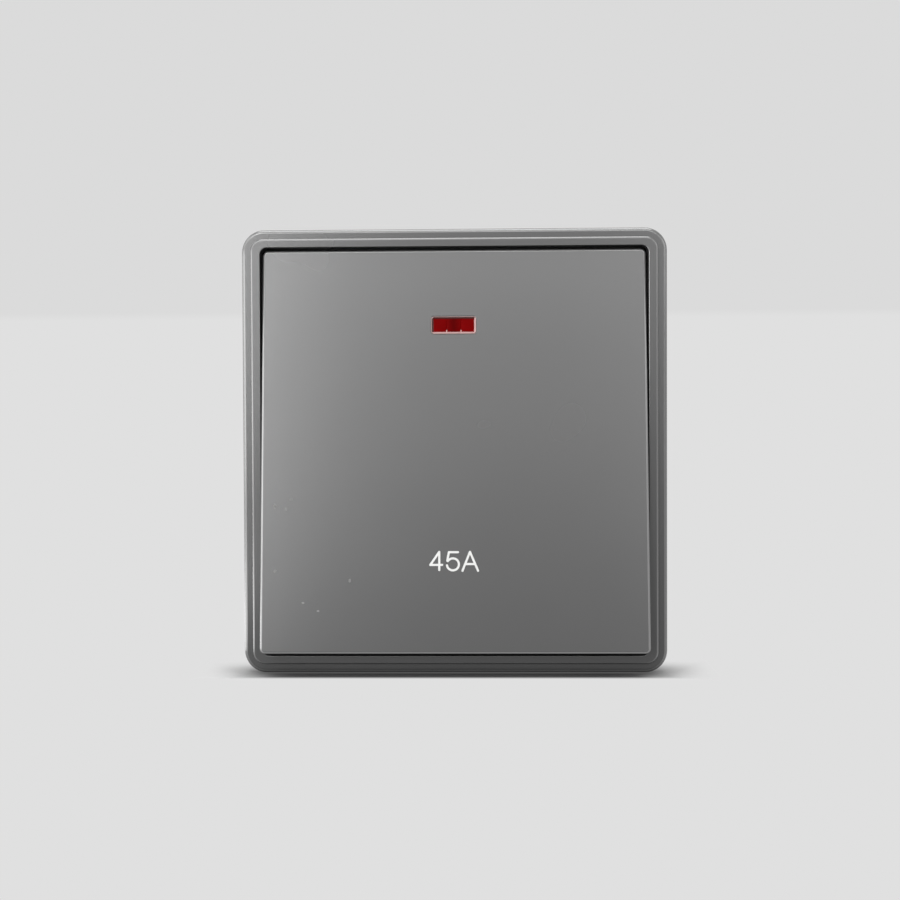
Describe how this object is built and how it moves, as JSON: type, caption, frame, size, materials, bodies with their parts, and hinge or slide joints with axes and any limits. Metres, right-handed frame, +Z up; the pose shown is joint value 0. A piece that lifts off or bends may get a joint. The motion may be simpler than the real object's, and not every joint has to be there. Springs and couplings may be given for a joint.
{
  "type": "wall switch",
  "caption": "Flush wall switch for an air conditioner: stepped grey frame, one full-plate rocker with a red neon lens, mechanism box and cable terminals behind.",
  "frame": {"origin": "midway between the two fixing slots, on the wall plane (the plate's rear face)", "axes": "+Y into the wall, +Z up along the plate's longer side, +X to the right when facing the switch; the face looks towards -Y"},
  "size_m": [0.086, 0.0414, 0.09],
  "materials": {
    "frame_plastic": "satin",
    "rocker_plastic": "satin",
    "lens_red": "glossy, translucent",
    "chassis_plastic": "matt",
    "housing_plastic": "matt",
    "carrier_plastic": "satin",
    "screw_steel": "zinc plated",
    "spring_steel": "bright",
    "contact_brass": "rolled",
    "terminal_brass": "machined",
    "tip_silver": "silver alloy",
    "lamp_glass": "clear",
    "resistor_body": "lacquered",
    "lead_wire": "tinned"
  },
  "bodies": {
    "switch_base": {"front_frame": "frame_plastic", "mounting_chassis": "chassis_plastic", "mechanism_housing": "housing_plastic", "mechanism_cover": "housing_plastic", "housing_screws": "screw_steel", "clamp_screws": "screw_steel", "load_strap_left": "contact_brass", "load_strap_right": "contact_brass", "supply_strap_left": "contact_brass", "supply_strap_right": "contact_brass", "terminal_load_left": "terminal_brass", "terminal_load_right": "terminal_brass", "terminal_supply_left": "terminal_brass", "terminal_supply_right": "terminal_brass", "fixed_contact_tips": "tip_silver", "indicator_lamp": "lamp_glass", "lamp_resistor": "resistor_body", "lamp_leads": "lead_wire"},
    "rocker": {"rocker_cover": "rocker_plastic", "indicator_lens": "lens_red", "rocker_carrier": "carrier_plastic", "plunger_spring_left": "spring_steel", "plunger_spring_right": "spring_steel"},
    "plunger_left": {"plunger_left": "carrier_plastic"},
    "plunger_right": {"plunger_right": "carrier_plastic"},
    "contact_left": {"contact_lever_left": "contact_brass", "moving_tip_left": "tip_silver"},
    "contact_right": {"contact_lever_right": "contact_brass", "moving_tip_right": "tip_silver"}
  },
  "joints": [
    {"name": "rocker_tilt", "type": "hinge", "parent": "switch_base", "child": "rocker", "pos_m": [0, -0.007, 0], "axis": [1, 0, 0], "range_deg": [0, 9.8]},
    {"name": "plunger_left_slide", "type": "slide", "parent": "rocker", "child": "plunger_left", "axis": [0, -0.9963, 0.0854], "range_m": [0, 0.0012], "stiffness_N_per_m": 450, "springref_m": -0.0016, "deforming": ["plunger_spring_left"]},
    {"name": "plunger_right_slide", "type": "slide", "parent": "rocker", "child": "plunger_right", "axis": [0, -0.9963, 0.0854], "range_m": [0, 0.0012], "stiffness_N_per_m": 450, "springref_m": -0.0016, "deforming": ["plunger_spring_right"]},
    {"name": "contact_left_tilt", "type": "hinge", "parent": "switch_base", "child": "contact_left", "pos_m": [-0.0115, 0.00756, 0], "axis": [1, 0, 0], "range_deg": [-16, 0]},
    {"name": "contact_right_tilt", "type": "hinge", "parent": "switch_base", "child": "contact_right", "pos_m": [0.0115, 0.00756, 0], "axis": [1, 0, 0], "range_deg": [-16, 0]}
  ],
  "couplings": [
    {"joint": "contact_left_tilt", "follows": "rocker_tilt", "ratio": -1.6326},
    {"joint": "contact_right_tilt", "follows": "rocker_tilt", "ratio": -1.6326}
  ]
}
